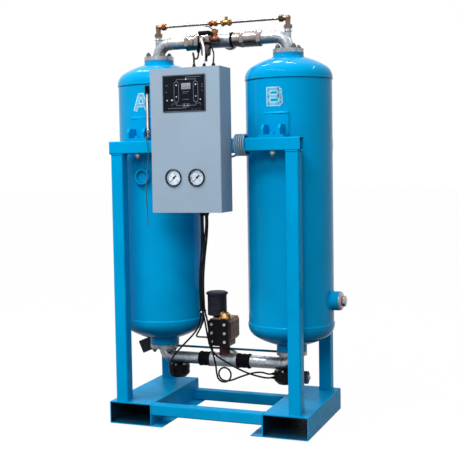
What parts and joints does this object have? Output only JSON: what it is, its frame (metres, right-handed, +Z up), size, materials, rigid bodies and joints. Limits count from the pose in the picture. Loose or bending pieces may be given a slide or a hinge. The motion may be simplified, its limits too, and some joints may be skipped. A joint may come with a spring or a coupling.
{
  "type": "desiccant air dryer",
  "caption": "Twin-tower desiccant air dryer in an open square-tube frame on fork channels, with flanged pipework, a control box with gauges, and a central changeover valve.",
  "frame": {"origin": "centre of the bounding box at floor level", "axes": "+X to the right seen from the front, the control box faces -Y, +Z up"},
  "size_m": [0.99, 0.601, 1.598],
  "materials": {
    "blue_paint": "glossy enamel",
    "zinc_steel": "dull zinc",
    "brass": "satin",
    "black_plastic": "fine grain",
    "brown_casting": "satin",
    "box_paint": "fine texture",
    "gasket": "matt",
    "gauge_case": "gloss",
    "dial": "matt",
    "pointer": "matt",
    "glass": "clear",
    "display": "gloss film",
    "board": "solder mask",
    "clear_tube": "clear",
    "hose": "smooth",
    "cable_black": "matt",
    "tube_white": "smooth",
    "desiccant": "beads"
  },
  "bodies": {
    "dryer": {"base_channel_left": "blue_paint", "base_channel_right": "blue_paint", "cross_member_front": "blue_paint", "cross_member_rear": "blue_paint", "posts": "blue_paint", "beam_front": "blue_paint", "beam_rear": "blue_paint", "tower_a": "blue_paint", "tower_b": "blue_paint", "tower_lugs": "blue_paint", "desiccant_beds": "desiccant", "bed_screens": "zinc_steel", "fill_plugs": "blue_paint", "drain_plugs": "zinc_steel", "frame_bolts": "zinc_steel", "flange_gaskets": "gasket", "flange_bolts": "zinc_steel", "top_elbow_a": "zinc_steel", "top_elbow_b": "zinc_steel", "bottom_elbow_a": "zinc_steel", "bottom_elbow_b": "zinc_steel", "pipe_nipples": "zinc_steel", "couplings": "black_plastic", "check_valves": "zinc_steel", "outlet_tee": "zinc_steel", "inlet_tee": "zinc_steel", "purge_tube": "zinc_steel", "brass_fittings": "brass", "filter_head": "black_plastic", "filter_bowl": "black_plastic", "centre_valve": "brown_casting", "valve_cover": "black_plastic", "valve_screws": "zinc_steel", "silencer_body": "black_plastic", "silencer_cap": "black_plastic", "exhaust_valves": "black_plastic", "solenoids": "black_plastic", "stay_rods": "blue_paint", "box_cover": "box_paint", "box_back": "box_paint", "controller_board": "board", "display_panel": "display", "gauge_cases": "gauge_case", "gauge_dials": "dial", "gauge_lenses": "glass", "cable_glands": "black_plastic", "indicator_tube": "clear_tube", "indicator_ends": "black_plastic", "beam_hose": "hose", "cable_valve": "cable_black", "cable_left": "cable_black", "cable_right": "cable_black", "cable_sensor": "cable_black", "cable_top": "cable_black", "air_line_top": "tube_white", "vent_line": "tube_white"},
    "left_pointer": {"gauge_pointer_left": "pointer"},
    "right_pointer": {"gauge_pointer_right": "pointer"}
  },
  "joints": [
    {"name": "left_gauge_needle", "type": "hinge", "parent": "dryer", "child": "left_pointer", "pos_m": [-0.062, -0.2915, 0.972], "axis": [0, 1, 0], "range_deg": [0, 270], "stiffness_Nm_per_rad": 0.002},
    {"name": "right_gauge_needle", "type": "hinge", "parent": "dryer", "child": "right_pointer", "pos_m": [0.03, -0.2915, 0.972], "axis": [0, 1, 0], "range_deg": [0, 270], "stiffness_Nm_per_rad": 0.002}
  ]
}
